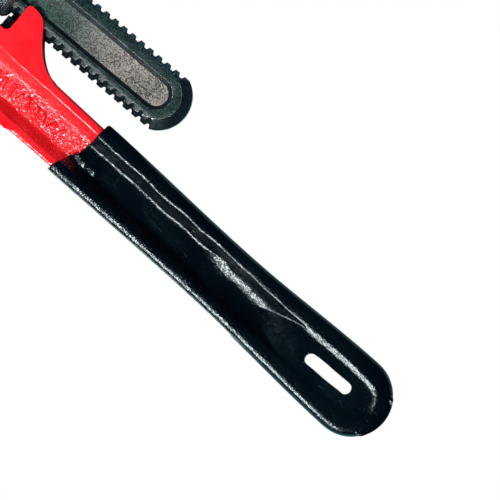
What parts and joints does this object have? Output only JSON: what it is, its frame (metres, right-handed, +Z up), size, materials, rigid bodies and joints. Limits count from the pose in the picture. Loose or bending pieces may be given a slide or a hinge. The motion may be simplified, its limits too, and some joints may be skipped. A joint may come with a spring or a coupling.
{
  "type": "pipe wrench",
  "caption": "Straight adjustable pipe wrench with a threaded hook jaw, knurled nut, heel jaw insert and a dipped grip with a hang slot.",
  "frame": {"origin": "centre of the bounding box's bottom, below the middle of the wrench as it lies flat", "axes": "+X along the handle towards the jaws, +Y to the side on which the mouth opens, +Z up through the thickness"},
  "size_m": [0.3546, 0.0792, 0.0358],
  "materials": {
    "enamelled_casting": "glossy red enamel on a sand casting",
    "dipped_grip": "dipped PVC, glossy with fine orange peel",
    "forged_jaw": "phosphated forging",
    "nut_steel": "phosphated, knurled",
    "jaw_insert": "hardened and phosphated",
    "spring_steel": "tempered spring steel",
    "rivet_steel": "zinc plated"
  },
  "bodies": {
    "handle": {"handle": "enamelled_casting", "grip": "dipped_grip", "heel_jaw": "jaw_insert", "heel_jaw_pin": "spring_steel", "coil_spring": "spring_steel", "flat_spring_rivet": "rivet_steel"},
    "spring_leaf": {"flat_spring": "spring_steel"},
    "nut": {"adjusting_nut": "nut_steel"},
    "hook": {"hook_jaw": "forged_jaw"}
  },
  "joints": [
    {"name": "jaw_rock", "type": "hinge", "parent": "handle", "child": "spring_leaf", "pos_m": [0.1169, -0.03567, 0.0179], "axis": [0, 0, 1], "range_deg": [-1, 1], "stiffness_Nm_per_rad": 6, "deforming": ["coil_spring"]},
    {"name": "nut_spin", "type": "hinge", "parent": "spring_leaf", "child": "nut", "pos_m": [0.07401, -0.01756, 0.0179], "axis": [0.9995, 0.0314, 0], "range_deg": [-2520.1, 1332.1]},
    {"name": "jaw_slide", "type": "slide", "parent": "spring_leaf", "child": "hook", "axis": [0.9995, 0.0314, 0], "range_m": [-0.0185, 0.035]}
  ],
  "couplings": [
    {"joint": "nut_spin", "follows": "jaw_slide", "rad_per_m": -1256.6}
  ]
}
